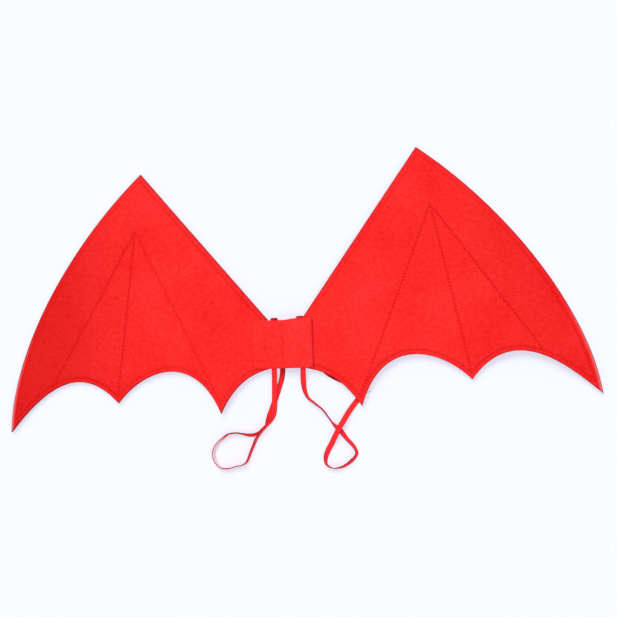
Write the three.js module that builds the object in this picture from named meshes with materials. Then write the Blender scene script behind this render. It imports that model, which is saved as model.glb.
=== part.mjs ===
// Felt costume wings with a centre band and two elastic shoulder loops, lying on their back.
// Millimetres. +X runs along the span, +Y towards the wings' upper points and +Z up.
// The origin is on the surface they lie on, under the middle of the wings.

import * as THREE from 'three';

// Felt layers and their seams
const felt = { thick: 1.6, layerGap: 0.3, pieceGap: 0.3 };
const seam = { shoulder: 9.0, groove: 0.5, halfWidth: 4.0, edgeDip: 0.2 };

// The loops behind the middle lift the felt there, and it settles to the surface further out
const lift = { height: 2.6, flatHalf: 45, endHalf: 190 };

// Corners of a wing as they lie on the right, which the left wing mirrors
const corner = {
  neckTop: new THREE.Vector2(0.5, -59.7),
  point: new THREE.Vector2(152, 136),
  outerTip: new THREE.Vector2(320, -136),
  middleTip: new THREE.Vector2(192.3, -113.6),
  innerTip: new THREE.Vector2(76.8, -132.3),
  neckBottom: new THREE.Vector2(0.5, -86.2),
};

// The two wings are not cut quite alike: how far some corners of each lie from those above
const cornerShift = {
  left: { point: [-0.75, 0.45], outerTip: [-1.2, -1.8] },
  right: { point: [0.75, -1], outerTip: [1.9, -0.5], innerTip: [-0.8, -1.1] },
};

// The three sewn rays of a wing start here
const rayApex = new THREE.Vector2(163, 73);

// Edges of a wing in order, each up to where the next starts. Bends pull the curve, sewn is how far
// inside it the border seam runs, and rays are the places along it where a ray ends.
const edges = [
  { from: 'neckTop', bends: null, sewn: 5.8, steps: 8, rays: [] },
  { from: 'point', bends: [[234.6, 69], [313.6, -43]], sewn: 5.8, steps: 20, rays: [] },
  { from: 'outerTip', bends: [[289, -105], [238.5, -56.5]], sewn: 4.6, steps: 16, rays: [0.42, 1] },
  { from: 'middleTip', bends: [[161.7, -78.6], [102.2, -61]], sewn: 4.6, steps: 15, rays: [0, 1] },
  { from: 'innerTip', bends: [[59.4, -100.8], [39, -86.2]], sewn: 4.6, steps: 12, rays: [0] },
  { from: 'neckBottom', bends: null, sewn: 4.6, steps: 2, rays: [] },
];

// The right wing's scallop beside the band hangs lower than the left one
const rightBesideBand = [[57.6, -104.9], [43.6, -91.8]];

// Rings of a panel inside its sewn border, as shares of the way from the apex to that border
const innerRings = [0.45, 0.8];

// Centre band: a felt rectangle draped over the wings and both elastics
const band = { width: 64.5, height: 53, thick: 1.6, x: -3.7, y: -61.8, turnDegrees: -2.1 };

// Drape of the band from its left edge to its right, with a crease down its middle.
// Rows are the share of its half width and the height of its underside over the wings.
const bandDrape = [
  [-1, 0.3],
  [-0.75, 0.55],
  [-0.48, 1.5],
  [-0.18, 1.55],
  [-0.06, 1.4],
  [0, 0.8],
  [0.06, 1.4],
  [0.36, 1.55],
  [0.74, 1.55],
  [1, 0.9],
];

// Flat elastic of the loops
const elastic = { width: 5.8, thick: 0.9, corner: 0.25 };

// Where the elastic folds over above the band, and the two places under the band where its ends meet
const fold = { y: -37.1, startY: -61, endY: -65 };

// Each loop from its fold over the band's top, down behind the wings and back under the band's lower edge.
// Rows are x, y, lean of the elastic in degrees (0 and 180 flat, 90 on edge), height of its lower side.
const straps = [
  {
    name: 'left_strap',
    foldX: -13.1,
    drift: 1.6,
    endX: -14.5,
    route: [
      [-11.3, -52, 180, 0.05],
      [-9.4, -70, 180, 0.05],
      [-7.2, -88, 180, 0.05],
      [-8.7, -98, 180, 0.05],
      [-12.3, -108, 178, 0.05],
      [-16.6, -118.6, 172, 0.05],
      [-21.4, -130, 160, 0.05],
      [-25, -137.8, 146, 0.05],
      [-27.3, -143.2, 122, 0.05],
      [-29.3, -147.3, 98, 0.05],
      [-33.2, -150.7, 98, 0.05],
      [-37.5, -154.7, 108, 0.05],
      [-43.6, -156.9, 126, 0.05],
      [-49.4, -156.8, 126, 0.05],
      [-56, -155.1, 110, 0.05],
      [-63.1, -153.8, 103, 0.05],
      [-71.8, -154.8, 101, 0.05],
      [-76.7, -158.1, 103, 0.05],
      [-82.7, -163, 108, 0.05],
      [-87.1, -168.7, 112, 0.05],
      [-88.9, -174.3, 112, 0.05],
      [-88.2, -180.2, 110, 0.05],
      [-85.5, -185.9, 100, 0.05],
      [-81.6, -189.8, 94, 0.05],
      [-75, -191.2, 90, 0.05],
      [-64.6, -189.4, 89, 0.05],
      [-58, -188.3, 86, 0.05],
      [-53.4, -185.8, 82, 0.05],
      [-50.9, -182, 78, 0.05],
      [-48.4, -176.6, 76, 0.05],
      [-43, -165.6, 70, 0.05],
      [-40.3, -160.6, 70, 0.05],
      [-35.6, -155, 74, 0.05],
      [-28.4, -148.4, 80, 0.05],
      [-24.2, -143.6, 58, 0.05],
      [-21.4, -139, 38, 0.1],
      [-19.4, -133, 18, 0.6],
      [-17.8, -119, 4, 2],
      [-16.4, -104, 0, 4.2],
      [-15.2, -91, 0, 6.2],
    ],
  },
  {
    name: 'right_strap',
    foldX: 14.8,
    drift: 2,
    endX: 16,
    route: [
      [17.4, -52, 180, 0.05],
      [23.8, -70, 180, 0.05],
      [32.6, -85.5, 180, 0.05],
      [40.4, -95.6, 180, 0.05],
      [47, -100.4, 180, 0.05],
      [55.4, -105.1, 180, 0.05],
      [64.8, -108.8, 180, 0.05],
      [72, -113, 180, 0.05],
      [75, -118.4, 180, 0.05],
      [73.4, -124.2, 180, 0.05],
      [68.2, -130, 180, 0.1],
      [60.7, -139.2, 180, 2],
      [55.4, -147, 180, 4.2],
      [50, -155.2, 180, 5.4],
      [44.9, -163.2, 180, 4.2],
      [40.4, -170.8, 176, 2],
      [35.8, -178, 160, 0.2],
      [33, -185, 136, 0.05],
      [33.2, -192.2, 102, 0.05],
      [39.4, -196.8, 84, 0.05],
      [50.2, -196, 68, 0.05],
      [60.4, -190, 56, 0.05],
      [66.2, -183, 66, 0.05],
      [64.4, -176.4, 66, 0.05],
      [57, -167, 56, 0.05],
      [52.9, -161.2, 42, 0.05],
      [49.2, -156.4, 26, 0.05],
      [45.2, -152.2, 68, 0.05],
      [41.6, -147.4, 88, 0.05],
      [38.4, -142.4, 89, 0.05],
      [33.1, -134.6, 88, 0.05],
      [25, -127.2, 80, 0.05],
      [18.6, -121.2, 72, 0.1],
      [15.4, -112, 48, 0.9],
      [15, -106.4, 29, 2.1],
      [15, -101, 12, 3.4],
      [16, -90, 0, 6.3],
    ],
  },
];

const redFelt = { color: 0xf0282c, roughness: 0.95, metalness: 0 };
const redElastic = { color: 0xc01a22, roughness: 0.8, metalness: 0 };

// Height of the felt's underside over the surface, at a distance x from the middle
function rise(x) {
  const share = (Math.abs(x) - lift.flatHalf) / (lift.endHalf - lift.flatHalf);
  return (lift.height * (1 + Math.cos(Math.PI * THREE.MathUtils.clamp(share, 0, 1)))) / 2;
}

const feltTopAtMiddle = lift.height + 2 * felt.thick + felt.layerGap;

function cornerOf(name, side) {
  const [x, y] = cornerShift[side][name] ?? [0, 0];
  return new THREE.Vector2(corner[name].x + x, corner[name].y + y);
}

function edgeCurve(edge, next, side) {
  const start = cornerOf(edge.from, side);
  const end = cornerOf(next.from, side);
  if (!edge.bends) return new THREE.LineCurve(start, end);
  const isLower = side === 'right' && edge.from === 'innerTip';
  const bends = isLower ? rightBesideBand : edge.bends;
  const [first, second] = bends.map(([x, y]) => new THREE.Vector2(x, y));
  return new THREE.CubicBezierCurve(start, first, second, end);
}

// Places along an edge where the panel has points, with two close to each ray's end for its groove
function edgeStops(edge, length) {
  const side = seam.halfWidth / length;
  const even = Array.from({ length: edge.steps }, (_, i) => i / edge.steps);
  const clear = even.filter((t) => edge.rays.every((ray) => Math.abs(t - ray) > 2 * side));
  const beside = edge.rays.flatMap((ray) => [ray - side, ray, ray + side]);
  const stops = [0, ...clear, ...beside].filter((t) => t >= 0 && t < 1);
  return [...new Set(stops)].sort((a, b) => a - b);
}

// Border of a wing, each point with its seam's distance and whether a ray ends on it
function wingBorder(side) {
  return edges.flatMap((edge, index) => {
    const curve = edgeCurve(edge, edges[(index + 1) % edges.length], side);
    const raysBefore = edges[(index + edges.length - 1) % edges.length].rays;
    return edgeStops(edge, curve.getLength()).map((t) => ({
      at: curve.getPoint(t),
      sewn: edge.sewn,
      onRay: edge.rays.includes(t) || (t === 0 && raysBefore.includes(1)),
    }));
  });
}

function distanceToBorder(place, border) {
  const nearest = new THREE.Vector3();
  const stretch = new THREE.Line3();
  const spot = new THREE.Vector3(place.x, place.y, 0);
  const distances = border.map((corner1, i) => {
    const corner2 = border[(i + 1) % border.length];
    stretch.start.set(corner1.at.x, corner1.at.y, 0);
    stretch.end.set(corner2.at.x, corner2.at.y, 0);
    return stretch.closestPointToPoint(spot, true, nearest).distanceTo(spot);
  });
  return Math.min(...distances);
}

// Walks from a border point towards the apex until it is the given distance inside the border
function insetPoint(borderPoint, inset, border) {
  const walk = 400;
  for (let i = 0; i < walk; i += 1) {
    const place = borderPoint.at.clone().lerp(rayApex, i / walk);
    if (distanceToBorder(place, border) >= inset) return place;
  }
  return rayApex.clone();
}

// Rings of points from the border to the innermost one, each with how deep the groove is there
function panelRings(border) {
  const rayDip = (point) => (point.onRay ? seam.groove : 0);
  const ringInside = (insetOf, dipOf) =>
    border.map((point) => ({ at: insetPoint(point, insetOf(point), border), dip: dipOf(point) }));
  const rim = ringInside(() => 0, () => seam.edgeDip);
  const sewn = ringInside((point) => point.sewn, () => seam.groove);
  const shoulder = ringInside(() => seam.shoulder, rayDip);
  const inner = innerRings.map((share) =>
    border.map((point, i) => ({ at: rayApex.clone().lerp(shoulder[i].at, share), dip: rayDip(point) })),
  );
  return [rim, sewn, shoulder, ...inner.reverse()];
}

// A felt layer, with the sewn grooves on its outer side and a plain side towards the other layer
function feltLayer(rings, mirror, isFront) {
  const positions = [];
  const triangles = [];
  const count = rings[0].length;
  const base = isFront ? felt.thick + felt.layerGap : 0;
  const lowerSide = ({ at, dip }) => rise(at.x) + base + (isFront ? 0 : dip);
  const upperSide = ({ at, dip }) => rise(at.x) + base + felt.thick - (isFront ? dip : 0);
  const places = [...rings.flat(), { at: rayApex, dip: seam.groove }];
  for (const height of [lowerSide, upperSide]) {
    for (const place of places) positions.push(mirror * place.at.x, place.at.y, height(place));
  }
  const sideSize = places.length;
  const index = (side, ring, i) => side * sideSize + ring * count + (i % count);
  const addTriangle = (a, b, c) => triangles.push(...(mirror > 0 ? [a, b, c] : [a, c, b]));
  const addQuad = (a, b, c, d) => {
    addTriangle(a, b, c);
    addTriangle(a, c, d);
  };
  for (let i = 0; i < count; i += 1) {
    for (let ring = 0; ring + 1 < rings.length; ring += 1) {
      addQuad(index(0, ring, i), index(0, ring, i + 1), index(0, ring + 1, i + 1), index(0, ring + 1, i));
      addQuad(index(1, ring, i + 1), index(1, ring, i), index(1, ring + 1, i), index(1, ring + 1, i + 1));
    }
    const last = rings.length - 1;
    addTriangle(index(0, last, i), index(0, last, i + 1), sideSize - 1);
    addTriangle(index(1, last, i + 1), index(1, last, i), 2 * sideSize - 1);
    addQuad(index(0, 0, i + 1), index(0, 0, i), index(1, 0, i), index(1, 0, i + 1));
  }
  const geometry = new THREE.BufferGeometry();
  geometry.setAttribute('position', new THREE.Float32BufferAttribute(positions, 3));
  geometry.setIndex(triangles);
  geometry.computeVertexNormals();
  return geometry;
}

// The band's section runs across it, and is extruded along its height
function bandGeometry() {
  const places = bandDrape.map(([share, over]) => new THREE.Vector2((share * band.width) / 2, over));
  const lower = new THREE.SplineCurve(places).getPoints(2 * (places.length - 1));
  const upper = lower.map((place) => new THREE.Vector2(place.x, place.y + band.thick)).reverse();
  const section = new THREE.Shape([...lower, ...upper]);
  const geometry = new THREE.ExtrudeGeometry(section, { depth: band.height, steps: 1, bevelEnabled: false });
  geometry.rotateX(Math.PI / 2);
  geometry.translate(0, band.height / 2, 0);
  return geometry;
}

// A path whose points each say which way the elastic's width lies
class ElasticPath extends THREE.CatmullRomCurve3 {
  constructor(points, widths) {
    super(points, false, 'centripetal');
    this.widths = widths;
  }

  getSpacedPoints(divisions) {
    return Array.from({ length: divisions + 1 }, (_, i) => this.getPoint(i / divisions));
  }

  computeFrenetFrames(segments) {
    const frames = { tangents: [], normals: [], binormals: [] };
    for (let i = 0; i <= segments; i += 1) {
      const tangent = this.getTangent(i / segments);
      const width = this.widths[i].clone().projectOnPlane(tangent).normalize();
      frames.tangents.push(tangent);
      frames.normals.push(width);
      frames.binormals.push(tangent.clone().cross(width));
    }
    return frames;
  }
}

// Rows of the whole loop with the run under the band and the fold over its top added
function strapPoints(strap) {
  const underBand = feltTopAtMiddle + felt.pieceGap + elastic.thick / 2;
  const onSurface = strap.route[0][3] + elastic.thick / 2;
  const foldRadius = (underBand - onSurface) / 2;
  const points = [
    new THREE.Vector3(strap.foldX, fold.startY, underBand),
    new THREE.Vector3(strap.foldX, (fold.startY + fold.y) / 2, underBand),
  ];
  const foldStops = [0, 0.25, 0.5, 0.75, 1];
  for (const share of foldStops) {
    const angle = Math.PI * share;
    const reach = fold.y + foldRadius * Math.sin(angle);
    const height = onSurface + foldRadius * (1 + Math.cos(angle));
    points.push(new THREE.Vector3(strap.foldX + strap.drift * share, reach, height));
  }
  const foldedCount = points.length;
  for (const [x, y, lean, clear] of strap.route) {
    const angle = THREE.MathUtils.degToRad(lean);
    const tall = elastic.width * Math.sin(angle) + elastic.thick * Math.abs(Math.cos(angle));
    points.push(new THREE.Vector3(x, y, clear + tall / 2));
  }
  points.push(new THREE.Vector3(strap.endX, fold.endY, underBand));
  return { points, foldedCount };
}

// Width direction at each point: straight across in the fold, then as far over as the row's lean says
function strapWidths(strap, points, foldedCount) {
  return points.map((point, i) => {
    if (i < foldedCount) return new THREE.Vector3(-1, 0, 0);
    const before = points[i - 1];
    const after = points[Math.min(i + 1, points.length - 1)];
    const left = new THREE.Vector3(before.y - after.y, after.x - before.x, 0).normalize();
    const row = strap.route[i - foldedCount];
    const angle = THREE.MathUtils.degToRad(row ? row[2] : 0);
    return left.multiplyScalar(Math.cos(angle)).setZ(Math.sin(angle));
  });
}

function strapGeometry(strap) {
  const { points, foldedCount } = strapPoints(strap);
  const path = new ElasticPath(points, strapWidths(strap, points, foldedCount));
  const halfWidth = elastic.width / 2;
  const halfThick = elastic.thick / 2;
  const cut = elastic.corner;
  const section = new THREE.Shape([
    new THREE.Vector2(halfWidth, halfThick - cut),
    new THREE.Vector2(halfWidth - cut, halfThick),
    new THREE.Vector2(0, halfThick),
    new THREE.Vector2(cut - halfWidth, halfThick),
    new THREE.Vector2(-halfWidth, halfThick - cut),
    new THREE.Vector2(-halfWidth, cut - halfThick),
    new THREE.Vector2(cut - halfWidth, -halfThick),
    new THREE.Vector2(0, -halfThick),
    new THREE.Vector2(halfWidth - cut, -halfThick),
    new THREE.Vector2(halfWidth, cut - halfThick),
  ]);
  return new THREE.ExtrudeGeometry(section, { extrudePath: path, steps: points.length - 1 });
}

function addPiece(parent, name, geometry, look) {
  const mesh = new THREE.Mesh(geometry, new THREE.MeshStandardMaterial(look));
  mesh.name = name;
  parent.add(mesh);
  return mesh;
}

const group = new THREE.Group();

for (const [side, mirror] of [['left', -1], ['right', 1]]) {
  const rings = panelRings(wingBorder(side));
  addPiece(group, `${side}_wing_back`, feltLayer(rings, mirror, false), redFelt);
  addPiece(group, `${side}_wing_front`, feltLayer(rings, mirror, true), redFelt);
}

const centreBand = addPiece(group, 'centre_band', bandGeometry(), redFelt);
centreBand.position.set(band.x, band.y, feltTopAtMiddle);
centreBand.rotation.z = THREE.MathUtils.degToRad(band.turnDegrees);

for (const strap of straps) addPiece(group, strap.name, strapGeometry(strap), redElastic);

export default group;
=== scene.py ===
# Red felt devil wings with a felt centre band and two elastic shoulder loops, lying on their back
import math
import random
import bpy
import bmesh
import numpy as np
from mathutils import Matrix, geometry, noise


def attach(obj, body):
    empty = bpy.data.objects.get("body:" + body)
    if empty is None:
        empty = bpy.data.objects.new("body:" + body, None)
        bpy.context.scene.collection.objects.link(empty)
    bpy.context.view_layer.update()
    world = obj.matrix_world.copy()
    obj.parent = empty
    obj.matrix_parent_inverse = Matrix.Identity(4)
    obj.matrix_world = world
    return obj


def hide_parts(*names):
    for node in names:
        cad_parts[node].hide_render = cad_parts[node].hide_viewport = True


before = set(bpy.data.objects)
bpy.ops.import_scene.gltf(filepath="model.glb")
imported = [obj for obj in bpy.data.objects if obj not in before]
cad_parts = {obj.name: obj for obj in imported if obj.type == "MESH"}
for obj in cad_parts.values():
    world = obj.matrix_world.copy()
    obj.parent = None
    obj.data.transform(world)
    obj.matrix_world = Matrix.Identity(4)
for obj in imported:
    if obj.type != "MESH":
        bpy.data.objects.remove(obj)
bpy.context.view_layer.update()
print("frame loaded:", ", ".join(sorted(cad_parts)))

tiny = 1e-18    # instead of nothing to divide by
hair = 1e-6     # a thousandth of a millimetre

# felt meshes: gap between rows as a share of the step, and how places are enlarged and merged
meshSet = {
    "rowShare": 0.866,
    "enlarge": 1000,
    "merge": 1e-5,
}


def smooth(share):
    share = np.clip(share, 0, 1)
    return share * share * (3 - 2 * share)


def unit(rows):
    return rows / np.linalg.norm(rows, axis=1)[:, None]


def bezier(a, b, c, d, count=240):
    t = np.linspace(0, 1, count)[:, None]
    a, b, c, d = (np.array(p) for p in (a, b, c, d))
    return (1 - t) ** 3 * a + 3 * (1 - t) ** 2 * t * b + 3 * (1 - t) * t * t * c + t ** 3 * d


def distances(line):
    return np.concatenate([[0], np.cumsum(np.linalg.norm(np.diff(line, axis=0), axis=1))])


def evenly(line, step):
    along = distances(line)
    stops = np.linspace(0, along[-1], max(2, round(along[-1] / step) + 1))
    return np.column_stack([np.interp(stops, along, line[:, k]) for k in range(line.shape[1])])


# faces between closed rings of points, ring after ring
def ringFaces(rings, count, first=0):
    faces = []
    for a in range(first, first + (rings - 1) * count, count):
        b = a + count
        faces += [(a + s, a + (s + 1) % count, b + (s + 1) % count, b + s) for s in range(count)]
    return faces


def newPiece(name, points, faces, material):
    mesh = bpy.data.meshes.new(name)
    mesh.from_pydata(np.asarray(points).tolist(), [], faces)
    bm = bmesh.new()
    bm.from_mesh(mesh)
    bmesh.ops.recalc_face_normals(bm, faces=bm.faces)
    bm.to_mesh(mesh)
    bm.free()
    mesh.polygons.foreach_set("use_smooth", [True] * len(mesh.polygons))
    mesh.materials.append(material)
    piece = bpy.data.objects.new(name, mesh)
    bpy.context.collection.objects.link(piece)
    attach(piece, "root")
    return piece


def paintPoints(piece, name, values):
    layer = piece.data.attributes.new(name, "FLOAT", "POINT")
    layer.data.foreach_set("value", np.asarray(values, dtype=np.float32))


# felt of the wings: tones, then clouds, tufts and fibres
feltLook = {
    "deep": (0.800, 0.0080, 0.0090),
    "light": (0.955, 0.0350, 0.0350),
    # painted shade in the needle holes and along the seam grooves
    "sewn": (0.580, 0.0012, 0.0020),
    # dark cut edges: partly the felt's own cut fibres, partly painted shade on the side walls
    "cut": (0.230, 0.0050, 0.0130),
    # painted sheen: pale pink standing in for light catching the felt's rims near the outer tips
    "paintedSheen": (0.880, 0.4000, 0.4400),
    # painted shade: darker outer parts of the wings and the band's middle crease
    "shade": (0.500, 0.0010, 0.0010),
    "cloud": 0.060,
    "cloudShare": 0.30,
    "tuft": 0.0035,
    "tuftTwist": 0.6,
    "tuftShare": 0.45,
    "tuftBump": (0.35, 0.0010),    # strength, distance
    "fibreLong": 0.0060,
    "fibreWide": 0.00055,
    "fibreTurns": (10, 68, 131),    # degrees
    "fibreTwist": 0.8,
    "fibreShare": 0.45,
    "fibreBump": (0.45, 0.0004),
    "tones": (0.45, 0.82),    # where the deep tone ends and the light one is full
    "roughness": 0.95,
    "specular": 0.02,
    "sheen": 0.22,
    "sheenRoughness": 0.45,
    "sheenTint": (1.0, 0.50, 0.50),
}

# the band is a touch lighter, and its cut edges take a saturated dark red as painted shade, strongest along
# its raised right edge
bandLook = {
    **feltLook,
    "deep": (0.810, 0.0125, 0.0125),
    "light": (0.960, 0.0400, 0.0390),
    "cut": (0.680, 0.0005, 0.0010),
}

elasticLook = {
    "deep": (0.860, 0.0160, 0.0200),
    "light": (1.000, 0.0340, 0.0380),
    # darker edges: partly the elastic's own edge tone, partly painted shade where they stand on edge
    "edge": (0.250, 0.0040, 0.0400),
    # painted shade: for the fold over the band's top and for low strands in the shadow of the wings
    "strapShade": (0.340, 0.0010, 0.0100),
    # painted sheen: pale pink for light catching the left loop's inner face
    "paintedSheen": (1.000, 0.7000, 0.7600),
    "ribs": 6,    # across its width, in the mesh too
    "tick": 0.0012,
    "knitShare": 0.65,
    "knitBump": (0.5, 0.0003),
    "patchScale": 220.0,
    "patchShare": 0.45,
    "rimShares": (0.82, 0.98),    # of the half width, where the edge tone starts and is full
    "roughness": 0.75,
    "specular": 0.08,
    "sheen": 0.35,
    "sheenRoughness": 0.35,
    "sheenTint": (1.0, 0.30, 0.36),
}

threadLook = {
    "deep": (0.700, 0.0100, 0.0120),
    "light": (0.880, 0.0200, 0.0220),
    "ray": (0.900, 0.0180, 0.0200),
    "size": 0.0009,
    "plyTwist": 0.5,
    "plyBump": (0.4, 0.0002),
    "roughness": 0.8,
    "specular": 0.1,
}


def addNode(tree, kind, inputs=None, **settings):
    node = tree.nodes.new(kind)
    for name, value in settings.items():
        setattr(node, name, value)
    for socket, value in (inputs or {}).items():
        if isinstance(value, bpy.types.NodeSocket):
            tree.links.new(value, node.inputs[socket])
        else:
            node.inputs[socket].default_value = value
    return node


def setInputs(node, values):
    for name, value in values.items():
        node.inputs[name].default_value = value


def newMaterial(name, look):
    material = bpy.data.materials.new(name)
    material.use_nodes = True
    tree = material.node_tree
    shader = tree.nodes["Principled BSDF"]
    setInputs(shader, {"Roughness": look["roughness"], "Specular IOR Level": look["specular"]})
    if "sheen" in look:
        setInputs(shader, {
            "Sheen Weight": look["sheen"],
            "Sheen Roughness": look["sheenRoughness"],
            "Sheen Tint": (*look["sheenTint"], 1),
        })
    material.diffuse_color = (*look["light"], 1)
    return material, tree, shader


def math2(tree, operation, a, b):
    return addNode(tree, "ShaderNodeMath", {0: a, 1: b}, operation=operation).outputs[0]


def mixColour(tree, factor, a, b):
    a, b = ((*tone, 1) if isinstance(tone, tuple) else tone for tone in (a, b))
    return addNode(tree, "ShaderNodeMix", {"Factor": factor, 6: a, 7: b}, data_type="RGBA").outputs[2]


def noiseAt(tree, coords, scale, detail=3, distortion=0.0):
    inputs = {"Vector": coords, "Scale": scale, "Detail": detail, "Distortion": distortion}
    return addNode(tree, "ShaderNodeTexNoise", inputs).outputs["Fac"]


def attributeValue(tree, name):
    return addNode(tree, "ShaderNodeAttribute", attribute_name=name).outputs["Fac"]


def bumpOf(tree, size, height, under=None):
    inputs = {"Strength": size[0], "Distance": size[1], "Height": height}
    if under is not None:
        inputs["Normal"] = under
    return addNode(tree, "ShaderNodeBump", inputs).outputs[0]


# matted fibres in three directions over tufts and a slow change of tone
def feltMaterial(name, look):
    material, tree, shader = newMaterial(name, look)
    coords = addNode(tree, "ShaderNodeTexCoord").outputs["Object"]
    cloud = noiseAt(tree, coords, 1 / look["cloud"], detail=2)
    tuft = noiseAt(tree, coords, 1 / look["tuft"], detail=5, distortion=look["tuftTwist"])
    fibres = None
    for turn in look["fibreTurns"]:
        spin = addNode(tree, "ShaderNodeMapping", {
            "Vector": coords,
            "Rotation": (0, 0, math.radians(turn)),
            "Scale": (1 / look["fibreLong"], 1 / look["fibreWide"], 1 / look["fibreWide"]),
        })
        strands = noiseAt(tree, spin.outputs[0], 1.0, detail=2, distortion=look["fibreTwist"])
        fibres = strands if fibres is None else math2(tree, "MAXIMUM", fibres, strands)
    tone = math2(tree, "MULTIPLY", tuft, look["tuftShare"])
    tone = math2(tree, "ADD", tone, math2(tree, "MULTIPLY", fibres, look["fibreShare"]))
    tone = math2(tree, "ADD", tone, math2(tree, "MULTIPLY", cloud, look["cloudShare"]))
    deepEnd, lightFull = look["tones"]
    spread = addNode(tree, "ShaderNodeMapRange", {"Value": tone, "From Min": deepEnd, "From Max": lightFull})
    colour = mixColour(tree, spread.outputs[0], look["deep"], look["light"])
    # painted shade, painted sheen, darker cut edges (partly painted shade) and painted shade in the stitch
    # holes
    for paint in ("shade", "paintedSheen", "cut", "sewn"):
        colour = mixColour(tree, attributeValue(tree, paint), colour, look[paint])
    tree.links.new(colour, shader.inputs["Base Color"])
    matted = bumpOf(tree, look["tuftBump"], tuft)
    hairy = bumpOf(tree, look["fibreBump"], fibres, matted)
    tree.links.new(hairy, shader.inputs["Normal"])
    return material


# knitted elastic: ribs along it with small ticks that alternate from rib to rib
def elasticMaterial(name, look):
    material, tree, shader = newMaterial(name, look)
    across = attributeValue(tree, "across")
    along = attributeValue(tree, "along")
    ribPlace = math2(tree, "MULTIPLY", across, look["ribs"] / 2)
    ribWave = math2(tree, "COSINE", math2(tree, "MULTIPLY", ribPlace, 2 * math.pi), 0.0)
    rib = math2(tree, "MULTIPLY_ADD", ribWave, 0.5)
    rib.node.inputs[2].default_value = 0.5
    stagger = math2(tree, "MULTIPLY", math2(tree, "FLOOR", ribPlace, 0.0), 0.5)
    tickPlace = math2(tree, "ADD", math2(tree, "MULTIPLY", along, 1 / look["tick"]), stagger)
    tick = math2(tree, "PINGPONG", tickPlace, 0.5)
    knit = math2(tree, "MULTIPLY", rib, math2(tree, "ADD", tick, 0.5))
    coords = addNode(tree, "ShaderNodeTexCoord").outputs["Object"]
    patchy = noiseAt(tree, coords, look["patchScale"])
    tone = math2(tree, "MULTIPLY", knit, look["knitShare"])
    tone = math2(tree, "ADD", tone, math2(tree, "MULTIPLY", patchy, look["patchShare"]))
    colour = mixColour(tree, tone, look["deep"], look["light"])
    rimStart, rimFull = look["rimShares"]
    outside = addNode(tree, "ShaderNodeMapRange", {
        "Value": math2(tree, "ABSOLUTE", across, 0.0), "From Min": rimStart, "From Max": rimFull,
    })
    # painted sheen on the left loop's inner face
    colour = mixColour(tree, attributeValue(tree, "stretched"), colour, look["paintedSheen"])
    rim = math2(tree, "MULTIPLY", outside.outputs[0], attributeValue(tree, "rim"))
    colour = mixColour(tree, rim, colour, look["edge"])
    # painted shade in the fold and at the listed shadows
    colour = mixColour(tree, attributeValue(tree, "strapShade"), colour, look["strapShade"])
    tree.links.new(colour, shader.inputs["Base Color"])
    tree.links.new(bumpOf(tree, look["knitBump"], knit), shader.inputs["Normal"])
    return material


def threadMaterial(name, look):
    material, tree, shader = newMaterial(name, look)
    coords = addNode(tree, "ShaderNodeTexCoord").outputs["Object"]
    ply = noiseAt(tree, coords, 1 / look["size"], detail=2, distortion=look["plyTwist"])
    colour = mixColour(tree, ply, look["deep"], look["light"])
    colour = mixColour(tree, attributeValue(tree, "ray"), colour, look["ray"])
    tree.links.new(colour, shader.inputs["Base Color"])
    tree.links.new(bumpOf(tree, look["plyBump"], ply), shader.inputs["Normal"])
    return material


frontFelt = feltMaterial("frontFelt", feltLook)
backFelt = feltMaterial("backFelt", feltLook)
bandFelt = feltMaterial("bandFelt", bandLook)
redElastic = elasticMaterial("redElastic", elasticLook)
redThread = threadMaterial("redThread", threadLook)
print("materials ready")


# camera over the wings, leaning a little from the right
viewSet = {
    "place": (0.1986, -0.0898, 1.0556),
    "turn": (2.723, 9.538, -4.142),    # degrees
    "lens": 58.35,
    "sensor": 36.0,
}


def addCamera():
    data = bpy.data.cameras.new("wingsView")
    data.lens = viewSet["lens"]
    data.sensor_width = viewSet["sensor"]
    camera = bpy.data.objects.new("wingsView", data)
    camera.location = viewSet["place"]
    camera.rotation_euler = [math.radians(angle) for angle in viewSet["turn"]]
    bpy.context.collection.objects.link(camera)
    bpy.context.scene.camera = camera


addCamera()
print("camera placed")


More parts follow.
